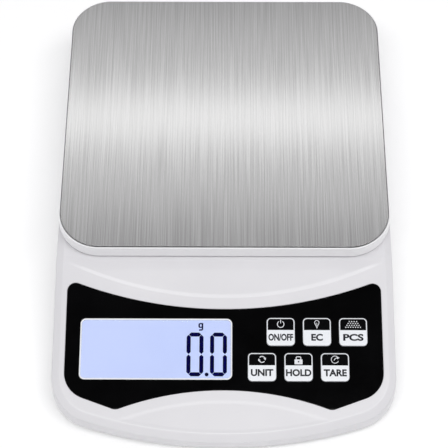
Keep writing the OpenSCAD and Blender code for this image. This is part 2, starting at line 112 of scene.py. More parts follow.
# curves of the sloped panel, in its own frame
CREASE_S, CREASE_R = -16.35, 173
PANEL_TOP_S, PANEL_TOP_R = -22.65, 200
PANEL_LOW_S, PANEL_LOW_R = -62.25, 141
PANEL_HALF_W = 75.65
PANEL_CORNER_R, PANEL_SIDE_R, PANEL_LOBE_R = 4, 13.2, 5
PANEL_SIDE_S, PANEL_LOBE_X = -53.6, 51
DISH_HIGH_S, DISH_HIGH_R = -66.7, 138
DISH_LOW_S, DISH_LOW_R = -83.1, 216
DISH_DEPTH, DISH_EDGE = 0.14, 2.2
DISH_SHIFTS = (0.0, 0.55, 1.1, 1.65, 2.2)
DISH_HALF_X, DISH_STEPS, DISH_TIP_GAP = 54, 96, 0.12

# the display: heights are along n
LCD_CENTRE = (-32.35, -42.3)
LCD_SIZE = (72.6, 29.8)
LCD_OPENING_R = 2.6
LCD_OPENING_GAP = 0.1
BEZEL = 0.7
BEZEL_ROUND = 0.16
BEZEL_LOW_N, BEZEL_TOP_N = -WALL - 0.1, -0.03
WINDOW_GAP = 0.05
WINDOW_LOW_N, WINDOW_TOP_N = -1.1, -0.1
GLASS_R = 1.2
GLASS_LOW_N, GLASS_TOP_N = -3.0, -1.2

KEY_SIZE = (13.4, 13.6)
KEY_R = 2
KEY_ROUND = 0.32
KEY_GAP = 0.2
KEY_PROUD = 0.5
KEY_PITCH = 17.3
# x and s of each row's first key, and the row's names
KEY_ROWS = [(27.1, -33.85, ["on_off", "ec", "pcs"]), (18.1, -51.1, ["unit", "hold", "tare"])]
KEY_CENTRES = {name: (x + i * KEY_PITCH, s) for x, s, names in KEY_ROWS for i, name in enumerate(names)}

PLATE_LOW, PLATE_HIGH = box_mm("weighing_plate")
TRAY_LOW, TRAY_HIGH = box_mm("platform_tray")
PLATFORM_Y = (PLATE_LOW.y + PLATE_HIGH.y) / 2
PLATE_R = 19.5
PLATFORM_CORNER_STEPS, PLATFORM_SIDE_PARTS = 24, 12

# ---------------------------------------------------------------- camera
CAMERA_PLACE = (1.55, -372.5, 639.3)
CAMERA_AIM = (-0.14, -19.58, 38.0)
CAMERA_ROLL = -0.086
LENS, SENSOR = 115.37, 36.0
CLIP_END = 20


def make_camera():
    camera = bpy.data.objects.new("camera", bpy.data.cameras.new("camera"))
    bpy.context.scene.collection.objects.link(camera)
    place = Vector(CAMERA_PLACE) * MM
    look = Vector(CAMERA_AIM) * MM - place
    turn = look.to_track_quat("-Z", "Y") @ Matrix.Rotation(radians(CAMERA_ROLL), 3, "Z").to_quaternion()
    camera.matrix_world = Matrix.Translation(place) @ turn.to_matrix().to_4x4()
    camera.data.lens = LENS
    camera.data.sensor_width = SENSOR
    camera.data.clip_end = CLIP_END
    bpy.context.scene.camera = camera


# ---------------------------------------------------------------- materials
class Nodes:
    """Short hand for building a node tree. Textures lie in the object's own metres."""

    def __init__(self, name):
        self.material = bpy.data.materials.new(name)
        self.material.use_nodes = True
        self.tree = self.material.node_tree
        self.shader = self.tree.nodes["Principled BSDF"]
        self.place = self.add("ShaderNodeTexCoord").outputs["Object"]

    def add(self, kind, **settings):
        node = self.tree.nodes.new(kind)
        for key, value in settings.items():
            setattr(node, key, value)
        return node

    def link(self, source, target):
        self.tree.links.new(source, target)

    def set(self, **values):
        for key, value in values.items():
            self.shader.inputs[key.replace("_", " ")].default_value = value

    def noise(self, scale, detail=3.0, stretch=(1, 1, 1), roughness=0.55):
        mapping = self.add("ShaderNodeMapping")
        mapping.inputs["Scale"].default_value = stretch
        noise = self.add("ShaderNodeTexNoise")
        noise.inputs["Scale"].default_value = scale
        noise.inputs["Detail"].default_value = detail
        noise.inputs["Roughness"].default_value = roughness
        self.link(self.place, mapping.inputs["Vector"])
        self.link(mapping.outputs["Vector"], noise.inputs["Vector"])
        return noise.outputs["Fac"]

    def spread(self, source, low, high, start=0.3, end=0.7):
        """A number between low and high as source goes from start to end."""
        node = self.add("ShaderNodeMapRange")
        for key, value in (("From Min", start), ("From Max", end), ("To Min", low), ("To Max", high)):
            node.inputs[key].default_value = value
        self.link(source, node.inputs["Value"])
        return node.outputs["Result"]

    def tint(self, source, dark, light, start=0.3, end=0.7):
        """A colour between dark and light as source goes from start to end."""
        node = self.add("ShaderNodeValToRGB")
        for stop, place, colour in zip(node.color_ramp.elements, (start, end), (dark, light)):
            stop.position = place
            stop.color = (*colour, 1)
        self.link(source, node.inputs["Fac"])
        return node.outputs["Color"]

    def bump(self, source, strength, distance):
        node = self.add("ShaderNodeBump")
        node.inputs["Strength"].default_value = strength
        node.inputs["Distance"].default_value = distance * MM
        self.link(source, node.inputs["Height"])
        self.link(node.outputs["Normal"], self.shader.inputs["Normal"])


def moulded(name, dark, light, rough=(0.38, 0.48), grain=2600, relief=0.02, specular=0.5):
    """Moulded plastic: faint colour drift, fine spark-eroded grain."""
    m = Nodes(name)
    m.link(m.tint(m.noise(35, 2), dark, light), m.shader.inputs["Base Color"])
    fine = m.noise(grain, 2)
    m.link(m.spread(fine, *rough), m.shader.inputs["Roughness"])
    m.bump(fine, 0.35, relief)
    m.set(Specular_IOR_Level=specular)
    return m.material


def gloss_black(name):
    """Gloss black overlay with faint haze and moulding drift."""
    m = Nodes(name)
    black = m.tint(m.noise(60, 3), (0.0008, 0.0008, 0.001), (0.002, 0.002, 0.0023))
    m.link(black, m.shader.inputs["Base Color"])
    m.link(m.spread(m.noise(400, 4), 0.07, 0.11), m.shader.inputs["Roughness"])
    m.bump(m.noise(90, 2), 0.05, 0.02)
    m.set(Specular_IOR_Level=0.12)
    return m.material


def printed(name, dark, light, rough=(0.3, 0.4)):
    """Screen-printed ink: slightly uneven coat."""
    m = Nodes(name)
    m.link(m.tint(m.noise(900, 3), dark, light), m.shader.inputs["Base Color"])
    m.link(m.spread(m.noise(1800, 2), *rough), m.shader.inputs["Roughness"])
    m.set(Specular_IOR_Level=0.2)
    return m.material


# repeats per metre of the steel's streaks, across them, along them and through the sheet
FINE_STREAKS = (3200, 24, 1)
BROAD_STREAKS = (1500, 10, 1)


def brushed_steel(name):
    """Steel brushed from front to back: the mean of fine streaks along Y and of broader, longer ones."""
    m = Nodes(name)
    fine = m.noise(1, 2, FINE_STREAKS, 0.5)
    broad = m.noise(1, 2, BROAD_STREAKS, 0.5)
    mix = m.add("ShaderNodeMix", data_type="FLOAT")
    factor, first, second = (mix.inputs[i] for i in (0, 2, 3))
    factor.default_value = 0.5
    m.link(fine, first)
    m.link(broad, second)
    both = mix.outputs[0]
    grey = m.tint(both, (0.424, 0.422, 0.420), (0.544, 0.542, 0.540), 0.40, 0.60)
    m.link(grey, m.shader.inputs["Base Color"])
    m.link(m.spread(both, 0.18, 0.24, 0.35, 0.65), m.shader.inputs["Roughness"])
    tangent = m.add("ShaderNodeTangent", direction_type="UV_MAP", uv_map="brushing")
    m.link(tangent.outputs["Tangent"], m.shader.inputs["Tangent"])
    m.set(Metallic=1.0, Anisotropic=0.9)
    return m.material


def metal(name, dark, light, rough=(0.22, 0.34), scale=700):
    """Plated or milled metal with small uneven spots."""
    m = Nodes(name)
    cloud = m.noise(scale, 4)
    m.link(m.tint(cloud, dark, light), m.shader.inputs["Base Color"])
    m.link(m.spread(cloud, *rough), m.shader.inputs["Roughness"])
    m.bump(cloud, 0.1, 0.01)
    m.set(Metallic=1.0)
    return m.material


def clear_window(name):
    """Clear acrylic with the faintest waviness."""
    m = Nodes(name)
    m.link(m.tint(m.noise(30, 1), (0.985, 0.99, 1.0), (1.0, 1.0, 1.0)), m.shader.inputs["Base Color"])
    m.link(m.spread(m.noise(700, 3), 0.01, 0.03), m.shader.inputs["Roughness"])
    m.set(Transmission_Weight=1.0, IOR=1.3, Specular_IOR_Level=0.1)
    return m.material


def lit_display(name):
    """Backlit glass: cool light, a little uneven over the display."""
    m = Nodes(name)
    cloud = m.noise(22, 2)
    glow = m.tint(cloud, (0.530, 0.615, 0.935), (0.560, 0.643, 0.960))
    m.link(glow, m.shader.inputs["Emission Color"])
    m.link(m.tint(cloud, (0.05, 0.06, 0.09), (0.06, 0.07, 0.10)), m.shader.inputs["Base Color"])
    m.set(Emission_Strength=1.0, Roughness=0.4, Specular_IOR_Level=0.2)
    return m.material


def display_ink(name):
    """Dark liquid crystal of a lit segment."""
    m = Nodes(name)
    m.link(m.tint(m.noise(500, 2), (0.0, 0.0, 0.05), (0.0, 0.0, 0.07)), m.shader.inputs["Base Color"])
    m.set(Roughness=0.5, Specular_IOR_Level=0.0)
    return m.material


def circuit_board(name):
    """Green solder mask with paler lines for the tracks under it."""
    m = Nodes(name)
    tracks = m.add("ShaderNodeTexBrick")
    tracks.inputs["Scale"].default_value = 260
    tracks.inputs["Color1"].default_value = (0.012, 0.13, 0.045, 1)
    tracks.inputs["Color2"].default_value = (0.016, 0.16, 0.055, 1)
    tracks.inputs["Mortar"].default_value = (0.03, 0.26, 0.09, 1)
    m.link(m.place, tracks.inputs["Vector"])
    m.link(tracks.outputs["Color"], m.shader.inputs["Base Color"])
    m.link(m.spread(m.noise(900, 2), 0.25, 0.4), m.shader.inputs["Roughness"])
    return m.material


MATERIALS = {
    "housing_white": moulded("housing_white", (0.737, 0.728, 0.752), (0.761, 0.752, 0.774), (0.28, 0.36)),
    "base_white": moulded("base_white", (0.69, 0.69, 0.70), (0.73, 0.73, 0.74), (0.5, 0.62), 1600, 0.05),
    "panel_black": gloss_black("panel_black"),
    "bezel_white": moulded("bezel_white", (0.86, 0.87, 0.90), (0.90, 0.91, 0.94), (0.2, 0.3)),
    "window_clear": clear_window("window_clear"),
    "lcd": lit_display("lcd"),
    "lcd_ink": display_ink("lcd_ink"),
    "diffuser": moulded("diffuser", (0.80, 0.84, 0.90), (0.86, 0.90, 0.95), (0.3, 0.4)),
    "zebra": moulded("zebra", (0.05, 0.04, 0.05), (0.28, 0.2, 0.24), (0.6, 0.8), 900),
    "board": circuit_board("board"),
    "chip": moulded("chip", (0.012, 0.012, 0.013), (0.022, 0.022, 0.023), (0.55, 0.7), 1800),
    "components": moulded("components", (0.32, 0.29, 0.22), (0.62, 0.58, 0.46), (0.3, 0.5), 300),
    "zinc": metal("zinc", (0.50, 0.51, 0.53), (0.68, 0.68, 0.69)),
    "switch_black": moulded("switch_black", (0.02, 0.02, 0.02), (0.035, 0.035, 0.036), (0.5, 0.65)),
    "plunger": moulded("plunger", (0.5, 0.36, 0.09), (0.62, 0.46, 0.14), (0.35, 0.45)),
    "key_face": moulded("key_face", (0.850, 0.870, 0.905), (0.870, 0.890, 0.925), (0.22, 0.3)),
    "key_black": printed("key_black", (0.0012, 0.0012, 0.0016), (0.0025, 0.0025, 0.003), (0.08, 0.13)),
    "key_pale": printed("key_pale", (0.72, 0.73, 0.76), (0.82, 0.83, 0.86)),
    "key_dark": printed("key_dark", (0.005, 0.006, 0.011), (0.011, 0.012, 0.018)),
    "aluminium": metal("aluminium", (0.58, 0.58, 0.60), (0.74, 0.74, 0.75), (0.3, 0.45)),
    "silicone": moulded("silicone", (0.74, 0.74, 0.71), (0.82, 0.82, 0.79), (0.45, 0.6), 700),
    "wire_grey": moulded("wire_grey", (0.18, 0.18, 0.19), (0.24, 0.24, 0.25), (0.4, 0.5)),
    "wire_red": moulded("wire_red", (0.30, 0.015, 0.012), (0.38, 0.022, 0.018), (0.4, 0.5)),
    "nickel": metal("nickel", (0.55, 0.53, 0.49), (0.72, 0.70, 0.66)),
    "battery": moulded("battery", (0.012, 0.075, 0.13), (0.02, 0.10, 0.17), (0.2, 0.3)),
    "rubber_foot": moulded("rubber_foot", (0.030, 0.030, 0.032), (0.05, 0.05, 0.052), (0.7, 0.85), 1500, 0.06),
    "support_white": moulded("support_white", (0.64, 0.64, 0.65), (0.70, 0.70, 0.71), (0.5, 0.65), 900, 0.06),
    "tray_white": moulded("tray_white", (0.93, 0.925, 0.94), (0.95, 0.945, 0.958), (0.34, 0.44)),
    "tape": moulded("tape", (0.58, 0.50, 0.30), (0.66, 0.58, 0.38), (0.5, 0.6)),
    "steel": brushed_steel("steel"),
}


# ---------------------------------------------------------------- mesh helpers
def arc(cx, cy, r, start, end, steps):
    """Points of an arc, angles in degrees, both ends included."""
    angles = [radians(start + (end - start) * i / steps) for i in range(steps + 1)]
    return [(cx + r * cos(a), cy + r * sin(a)) for a in angles]


def round_rect(w, l, r, centre=(0, 0), steps=8, sides=1):
    """Rounded rectangle, anticlockwise. Each straight side is cut into as many parts as sides says."""
    cx, cy = centre
    corners = [(w / 2 - r, -l / 2 + r, -90), (w / 2 - r, l / 2 - r, 0),
               (-w / 2 + r, l / 2 - r, 90), (-w / 2 + r, -l / 2 + r, 180)]
    loop = []
    for x, y, start in corners:
        turn = arc(cx + x, cy + y, r, start, start + 90, steps)
        if loop and sides > 1:
            loop += between(loop[-1], turn[0], sides)
        loop += turn
    if sides > 1:
        loop += between(loop[-1], loop[0], sides)
    return loop


def between(a, b, parts):
    """Points strictly between a and b."""
    return [tuple(a[k] + (b[k] - a[k]) * i / parts for k in range(2)) for i in range(1, parts)]


# a corner's offset point moves at most 1 / SHARPEST_MITRE times the inset
SHARPEST_MITRE = 0.4


def offset_loop(loop, inset):
    """Moves a closed loop to its left: inwards if anticlockwise, into the solid if a clockwise hole."""
    points = np.array(loop)
    before = points - np.roll(points, 1, 0)
    after = np.roll(points, -1, 0) - points
    before /= np.linalg.norm(before, axis=1)[:, None]
    after /= np.linalg.norm(after, axis=1)[:, None]
    both = before + after
    both /= np.linalg.norm(both, axis=1)[:, None]
    left = np.stack([-both[:, 1], both[:, 0]], 1)
    stretch = np.sum(left * np.stack([-before[:, 1], before[:, 0]], 1), 1)
    return [tuple(p) for p in points + left * (inset / np.maximum(stretch, SHARPEST_MITRE))[:, None]]


def inside(points, loop):
    """Which of the points lie inside the closed loop."""
    x, y = points[:, 0], points[:, 1]
    odd = np.zeros(len(points), bool)
    previous = loop[-1]
    for p in loop:
        crosses = (p[1] > y) != (previous[1] > y)
        with np.errstate(divide="ignore", invalid="ignore"):
            reach = (previous[0] - p[0]) * (y - p[1]) / (previous[1] - p[1]) + p[0]
        odd ^= crosses & (x < reach)
        previous = p
    return odd


def clockwise(loop):
    return list(reversed(loop))


# two points closer than this, in millimetres, are one point of a patch
SAME_POINT = 1e-5


class Builder:
    """Collects the points and faces of one piece, in millimetres."""

    def __init__(self):
        self.points = []
        self.faces = []

    def ring(self, points):
        """Adds a closed ring of points, and says which they are."""
        start = len(self.points)
        self.points += [tuple(p) for p in points]
        return list(range(start, start + len(points)))

    def bridge(self, lower, upper):
        """Quads between two closed rings of the same length."""
        count = len(lower)
        for i in range(count):
            k = (i + 1) % count
            self.faces.append((lower[i], lower[k], upper[k], upper[i]))

    def patch(self, rings, height, lines=()):
        """Fills the area between the first ring and the others, with edges along the lines.

        height(x, y) places every point that isn't in a ring.
        """
        flat = [[self.points[i][:2] for i in ring] for ring in rings]
        owner = [i for ring in rings for i in ring]
        coordinates = [p for loop in flat for p in loop]
        edges = []
        start = 0
        for loop in flat:
            edges += [(start + i, start + (i + 1) % len(loop)) for i in range(len(loop))]
            start += len(loop)
        for line in lines:
            edges += [(start + i, start + i + 1) for i in range(len(line) - 1)]
            coordinates += [tuple(p) for p in line]
            start += len(line)
        coordinates = [Vector(p) for p in coordinates]
        points, _, faces, sources, _, _ = delaunay_2d_cdt(coordinates, edges, [], 0, SAME_POINT)
        places = np.array([tuple(p) for p in points])
        middles = np.array([places[list(f)].mean(0) for f in faces])
        keep = inside(middles, flat[0])
        for loop in flat[1:]:
            keep &= ~inside(middles, loop)
        index = []
        for p, source in zip(points, sources):
            known = [owner[i] for i in source if i < len(owner)]
            if known:
                index.append(known[0])
            else:
                index.append(len(self.points))
                self.points.append((p.x, p.y, height(p.x, p.y)))
        self.faces += [tuple(index[i] for i in face) for face, kept in zip(faces, keep) if kept]

    def piece(self, name, material, matrix=None, sharp=40):
        """Makes the mesh object, drops unused points, and turns all faces outwards.

        Edges that turn by more than sharp degrees stay sharp.
        """
        mesh = bpy.data.meshes.new(name)
        mesh.from_pydata([[c * MM for c in p] for p in self.points], [], self.faces)
        work = bmesh.new()
        work.from_mesh(mesh)
        bmesh.ops.delete(work, geom=[v for v in work.verts if not v.link_faces], context="VERTS")
        bmesh.ops.recalc_face_normals(work, faces=work.faces)
        work.to_mesh(mesh)
        work.free()
        if matrix is not None:
            mesh.transform(matrix)
        mesh.materials.append(MATERIALS[material])
        mesh.shade_smooth()
        mesh.set_sharp_from_angle(angle=radians(sharp))
        piece = bpy.data.objects.new(name, mesh)
        bpy.context.scene.collection.objects.link(piece)
        modifier = piece.modifiers.new("weighted normals", "WEIGHTED_NORMAL")
        modifier.keep_sharp = True
        modifier.weight = 80
        return piece


def rounded_edge(low, high, r, steps=3):
    """(inset, height) pairs up a wall with a round of radius r at its top."""
    angles = [pi / 2 * i / steps for i in range(steps + 1)]
    return [(0, low)] + [(r - r * cos(a), high - r + r * sin(a)) for a in angles]


def solid(name, material, loops, profile, matrix=None, sharp=40):
    """Closed solid over loops: an anticlockwise outline and any clockwise holes.

    profile is (inset, height) from the rim of the lower face to the rim of the upper one. The insets of
    an outer wall and of an inner one mustn't cross.
    """
    build = Builder()
    stacks = []
    for loop in loops:
        rings = [build.ring([(x, y, z) for x, y in offset_loop(loop, inset)]) for inset, z in profile]
        for lower, upper in zip(rings, rings[1:]):
            build.bridge(lower, upper)
        stacks.append(rings)
    build.patch([rings[0] for rings in stacks], lambda x, y: profile[0][1])
    build.patch([rings[-1] for rings in stacks], lambda x, y: profile[-1][1])
    return build.piece(name, material, matrix, sharp)


def joined(name, pieces):
    """Joins several pieces of one material into one object."""
    work = bmesh.new()
    for piece in pieces:
        work.from_mesh(piece.data)
    mesh = bpy.data.meshes.new(name)
    work.to_mesh(mesh)
    work.free()
    mesh.materials.append(pieces[0].data.materials[0])
    whole = bpy.data.objects.new(name, mesh)
    bpy.context.scene.collection.objects.link(whole)
    for piece in pieces:
        bpy.data.objects.remove(piece)
    return whole


def fit(piece, body, slot, *nodes):
    """Says what the piece rides on, and the CAD nodes that it stands for. slot, its finish, is not used."""
    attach(piece, body)
    if nodes:
        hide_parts(*nodes)
    return piece


# ---------------------------------------------------------------- the sloped panel's frame
PANEL_MATRIX = Matrix.Translation((0, BEND_Y * MM, BEND_Z * MM)) @ Matrix.Rotation(SLOPE, 4, "X")


def on_panel(x, s, n=0.0):
    """The scene's place of a point of the panel's frame."""
    return (x, BEND_Y + s * cos(SLOPE) - n * sin(SLOPE), BEND_Z + s * sin(SLOPE) + n * cos(SLOPE))


def panel_plan(loop):
    """A loop of the panel's frame, seen from straight above."""
    return [on_panel(x, s)[:2] for x, s in loop]


def tangent_loop(circles):
    """Arc points round each (centre, radius, start, end, steps), in order."""
    loop = []
    for (cx, cs), r, start, end, steps in circles:
        loop += arc(cx, cs, r, start, end, steps)
    return loop


def angle_of(a, b):
    """Direction from a to b in degrees."""
    return degrees(atan2(b[1] - a[1], b[0] - a[0]))


def panel_outline(grow=0.0):
    """The black panel: hollow upper and lower edges, and two lobes at the sides. Anticlockwise."""
    corner_x = PANEL_HALF_W - PANEL_CORNER_R
    top_centre = (0, PANEL_TOP_S + PANEL_TOP_R)
    corner = (corner_x, top_centre[1] - sqrt((PANEL_TOP_R + PANEL_CORNER_R) ** 2 - corner_x ** 2))
    low_centre = (0, PANEL_LOW_S - PANEL_LOW_R)
    lobe = (PANEL_LOBE_X, low_centre[1] + sqrt((PANEL_LOW_R + PANEL_LOBE_R) ** 2 - PANEL_LOBE_X ** 2))
    side = (PANEL_HALF_W - PANEL_SIDE_R, PANEL_SIDE_S)
    run = hypot(side[0] - lobe[0], side[1] - lobe[1])
    chord = angle_of(lobe, side) - degrees(asin((PANEL_SIDE_R - PANEL_LOBE_R) / run)) - 90
    lobe_start = angle_of(lobe, low_centre)
    corner_end = angle_of(corner, top_centre)
    right = tangent_loop([
        (lobe, PANEL_LOBE_R + grow, lobe_start, chord, 6),
        (side, PANEL_SIDE_R + grow, chord, 0, 14),
        (corner, PANEL_CORNER_R + grow, 0, corner_end, 12)])
    left = [(-x, s) for x, s in reversed(right)]
    top_half = asin(corner_x / (PANEL_TOP_R + PANEL_CORNER_R))
    low_half = asin(PANEL_LOBE_X / (PANEL_LOW_R + PANEL_LOBE_R))
    top = arc(*top_centre, PANEL_TOP_R - grow, -90 + degrees(top_half), -90 - degrees(top_half), 56)
    low = arc(*low_centre, PANEL_LOW_R - grow, 90 + degrees(low_half), 90 - degrees(low_half), 44)
    return right + top[1:-1] + left + low[1:-1]


def lcd_outline(grow=0.0, r=LCD_OPENING_R):
    return round_rect(LCD_SIZE[0] + 2 * grow, LCD_SIZE[1] + 2 * grow, r + grow, LCD_CENTRE, 8)


def key_outline(name, grow=0.0):
    return round_rect(KEY_SIZE[0] + 2 * grow, KEY_SIZE[1] + 2 * grow, KEY_R + grow, KEY_CENTRES[name], 6)


# ---------------------------------------------------------------- top cover
BOW_Y = FRONT_Y + BOW_R
FRONT_X = BODY_W / 2 - FRONT_CORNER_R
CORNER_Y = BOW_Y - sqrt((BOW_R - FRONT_CORNER_R) ** 2 - FRONT_X ** 2)
BOW_ANGLE = degrees(asin(FRONT_X / (BOW_R - FRONT_CORNER_R)))
BACK_X = BODY_W / 2 - BACK_CORNER_R
SIDE_END_Y = BACK_Y - BACK_CORNER_R
INNER_INSET = LEAN + EDGE_W + EDGE_INNER_ROUND
BOW_STEPS, CORNER_STEPS, BACK_STEPS, CREASE_STEPS = 64, 22, 20, 110


def smooth(t):
    """From 0 to 1 with no kink at either end."""
    t = min(1.0, max(0.0, t))
    return t * t * (3 - 2 * t)


def ramp(t, soft=0.15):
    """An even slope from 0 to 1, with soft ends."""
    t = min(1.0, max(0.0, t))
    if t > 0.5:
        return 1 - ramp(1 - t, soft)
    return (t * t / (2 * soft) if t < soft else t - soft / 2) / (1 - soft)


def crease_distance(x, y):
    """How far a point lies in front of the crease."""
    s = (y - BEND_Y) / cos(SLOPE)
    return hypot(x, s - CREASE_S - CREASE_R) - CREASE_R


def dish_depth(x, y):
    """How far the lens-shaped dish, between two arcs, lies under the slope."""
    s = (y - BEND_Y) / cos(SLOPE)
    high = DISH_HIGH_R - hypot(x, s - DISH_HIGH_S + DISH_HIGH_R)
    low = DISH_LOW_R - hypot(x, s - DISH_LOW_S - DISH_LOW_R)
    return DISH_DEPTH * smooth(min(high, low) / DISH_EDGE)


def upper_skin(y):
    """The deck, and its smooth bend down onto the slope."""
    t = y - BEND_Y
    if t >= BEND_HALF:
        return DECK_Z
    if t <= -BEND_HALF:
        return DECK_Z + RISE * t
    return DECK_Z - RISE * (t - BEND_HALF) ** 2 / (4 * BEND_HALF)


def skin(x, y, crease_width=CREASE_WIDTH):
    """Height of the cover's outer surface inside its sloped band.

    Behind the crease the surface comes down by STEP - CREASE_STEP, and the crease is the rest.
    """
    upper = upper_skin(y)
    lower = min(upper, DECK_Z - STEP + RISE * (y - BEND_Y))
    distance = crease_distance(x, y)
    fade = smooth((distance + STEP_FADE_START) / STEP_FADE_LENGTH)
    upper -= min(upper - lower, (STEP - CREASE_STEP) * fade)
    share = ramp(distance / crease_width + 0.5)
    return upper + (lower - upper) * share - dish_depth(x, y)


def crease_row(shift, half_x, steps):
    """Points along the crease, moved forwards by shift, out to x = half_x on both sides."""
    r = CREASE_R + shift
    row = []
    for i in range(steps + 1):
        x = half_x * (2 * i / steps - 1)
        row.append(on_panel(x, CREASE_S + CREASE_R - sqrt(r * r - x * x))[:2])
    return row


def dish_row(shift, upper):
    """Points along one edge of the dish, moved inwards by shift."""
    high = (DISH_HIGH_S - DISH_HIGH_R, DISH_HIGH_R)
    low = (DISH_LOW_S + DISH_LOW_R, DISH_LOW_R)
    (centre_s, r), (other_s, other_r) = (high, low) if upper else (low, high)
    r -= shift
    side = 1 if upper else -1
    row = []
    for i in range(DISH_STEPS + 1):
        x = -DISH_HALF_X + 2 * DISH_HALF_X * i / DISH_STEPS
        s = centre_s + side * sqrt(r * r - x * x)
        if hypot(x, s - other_s) < other_r - DISH_TIP_GAP:
            row.append(on_panel(x, s)[:2])
    return row


CREASE_SHIFTS = [CREASE_WIDTH * (i / 8 - 0.5) for i in range(9)]
BEND_ROWS = [BEND_Y + BEND_HALF * (i / 4 - 1) for i in range(9)]


def side_stations():
    """Places along the straight sides: every row that ends there, and a few between."""
    half_x = BODY_W / 2 - INNER_INSET
    needed = [crease_row(shift, half_x, 2)[0][1] for shift in CREASE_SHIFTS] + BEND_ROWS
    fine_start, fine_pitch, fine_count, coarse_parts, closest = BEND_Y - 12, 1.5, 17, 44, 0.7
    fine = [fine_start + fine_pitch * i for i in range(fine_count)]
    coarse = [CORNER_Y + (SIDE_END_Y - CORNER_Y) * i / coarse_parts for i in range(1, coarse_parts)]
    chosen = list(needed)
    for y in fine + coarse:
        if all(abs(y - other) > closest for other in chosen):
            chosen.append(y)
    return sorted(chosen)


SIDE_YS = side_stations()


def contour(inset):
    """The housing's outline, moved inwards. Every inset gives the same number of points."""
    half = BODY_W / 2 - inset
    back = BACK_Y - inset
    front_r, back_r = FRONT_CORNER_R - inset, BACK_CORNER_R - inset
    loop = arc(0, BOW_Y, BOW_R - inset, 270 - BOW_ANGLE, 270 + BOW_ANGLE, BOW_STEPS)
    loop += arc(FRONT_X, CORNER_Y, front_r, -90 + BOW_ANGLE, 0, CORNER_STEPS)[1:]
    loop += [(half, y) for y in SIDE_YS]
    loop += arc(BACK_X, SIDE_END_Y, back_r, 0, 90, CORNER_STEPS)
    loop += [(x, back) for x in np.linspace(BACK_X, -BACK_X, BACK_STEPS + 1)[1:-1]]
    loop += arc(-BACK_X, SIDE_END_Y, back_r, 90, 180, CORNER_STEPS)
    loop += [(-half, y) for y in reversed(SIDE_YS)]
    loop += arc(-FRONT_X, CORNER_Y, front_r, 180, 270 - BOW_ANGLE, CORNER_STEPS)[:-1]
    return loop


def band_height(x, y, inset, drop):
    """Height on the sloped band, drop under the skin. The crease widens there and fades out."""
    share = min(1.0, max(0.0, (inset - LEAN) / (INNER_INSET - LEAN))) ** 2
    wide = skin(x, y, CREASE_FADE_WIDTH)
    return wide + (skin(x, y) - wide) * share - drop


def soft_corner(before, corner, after, r, steps=4):
    """Points that round a corner of a profile."""
    corner = Vector(corner)
    start = corner + (Vector(before) - corner).normalized() * r
    end = corner + (Vector(after) - corner).normalized() * r
    points = []
    for i in range(steps + 1):
        t = i / steps
        points.append(tuple(start * (1 - t) ** 2 + corner * (2 * t * (1 - t)) + end * t * t))
    return points


def make_top_cover():
    # outer wall and sloped band; the band's profile is (inset, drop under the skin)
    build = Builder()
    outer_edge = (LEAN, EDGE_DROP)
    inner_edge = (LEAN + EDGE_W, 0)
    down_the_wall = (LEAN - 0.02, EDGE_DROP + 5)
    over_the_skin = (LEAN + EDGE_W + 3, 0)
    seam_round = [(0.3, SEAM_Z), (0.08, SEAM_Z + 0.1), (0.0, SEAM_Z + 0.35)]
    rings = [build.ring([(x, y, z) for x, y in contour(inset)]) for inset, z in seam_round]
    band = soft_corner(down_the_wall, outer_edge, inner_edge, EDGE_OUTER_ROUND)
    band += [(LEAN + EDGE_W * t, EDGE_DROP * (1 - t)) for t in (0.4, 0.65)]
    band += soft_corner(outer_edge, inner_edge, over_the_skin, EDGE_INNER_ROUND)
    for inset, drop in band:
        rings.append(build.ring([(x, y, band_height(x, y, inset, drop)) for x, y in contour(inset)]))
    for lower, upper in zip(rings, rings[1:]):
        build.bridge(lower, upper)

    # upper surface, with the pocket for the black panel and the opening for the platform's plinth
    pocket = panel_outline(POCKET_GAP)
    rim = panel_plan(panel_outline(POCKET_GAP + POCKET_ROUND))
    pocket_rim = build.ring([(x, y, skin(x, y)) for x, y in rim])
    pocket_edge = build.ring([on_panel(x, s, -POCKET_ROUND * 0.7) for x, s in pocket])
    pocket_floor = build.ring([on_panel(x, s, -POCKET) for x, s in pocket])
    plinth = round_rect(*PLINTH_OPENING, PLINTH_OPENING_R, PLINTH_OPENING_CENTRE, 6)
    plinth_top = build.ring([(x, y, DECK_Z) for x, y in plinth])
    half_x = BODY_W / 2 - INNER_INSET
    lines = [crease_row(shift, half_x, CREASE_STEPS) for shift in CREASE_SHIFTS]
    lines += [[(-half_x, y), (half_x, y)] for y in BEND_ROWS]
    for shift in DISH_SHIFTS:
        lines += [dish_row(shift, True), dish_row(shift, False)]
    build.patch([rings[-1], pocket_rim, plinth_top], skin, lines)
    build.bridge(pocket_edge, pocket_rim)
    build.bridge(pocket_floor, pocket_edge)

    # pocket floor with the display and key openings, and the inner surface below it all
    def inner_height(x, y):
        return skin(x, y) - WALL / cos(SLOPE)

    def floor_height(x, y):
        return on_panel(0, (y - BEND_Y) / cos(SLOPE), -POCKET)[2]

    openings = [lcd_outline(LCD_OPENING_GAP)] + [key_outline(name, KEY_GAP) for name in KEY_CENTRES]
    floor_rings = [build.ring([on_panel(x, s, -POCKET) for x, s in loop]) for loop in openings]
    build.patch([pocket_floor] + floor_rings, floor_height)
    under_rings = [build.ring([on_panel(x, s, -WALL) for x, s in loop]) for loop in openings]
    for lower, upper in zip(under_rings, floor_rings):
        build.bridge(lower, upper)
    plinth_under = build.ring([(x, y, inner_height(x, y)) for x, y in plinth])
    build.bridge(plinth_under, plinth_top)
    inner_rim = build.ring([(x, y, inner_height(x, y)) for x, y in contour(LEAN + WALL)])
    inner_foot = build.ring([(x, y, SEAM_Z) for x, y in contour(WALL)])
    build.patch([inner_rim, plinth_under] + under_rings, inner_height)
    build.bridge(inner_foot, inner_rim)
    build.bridge(inner_foot, rings[0])
    return build.piece("top_cover_shell", "housing_white", sharp=32)


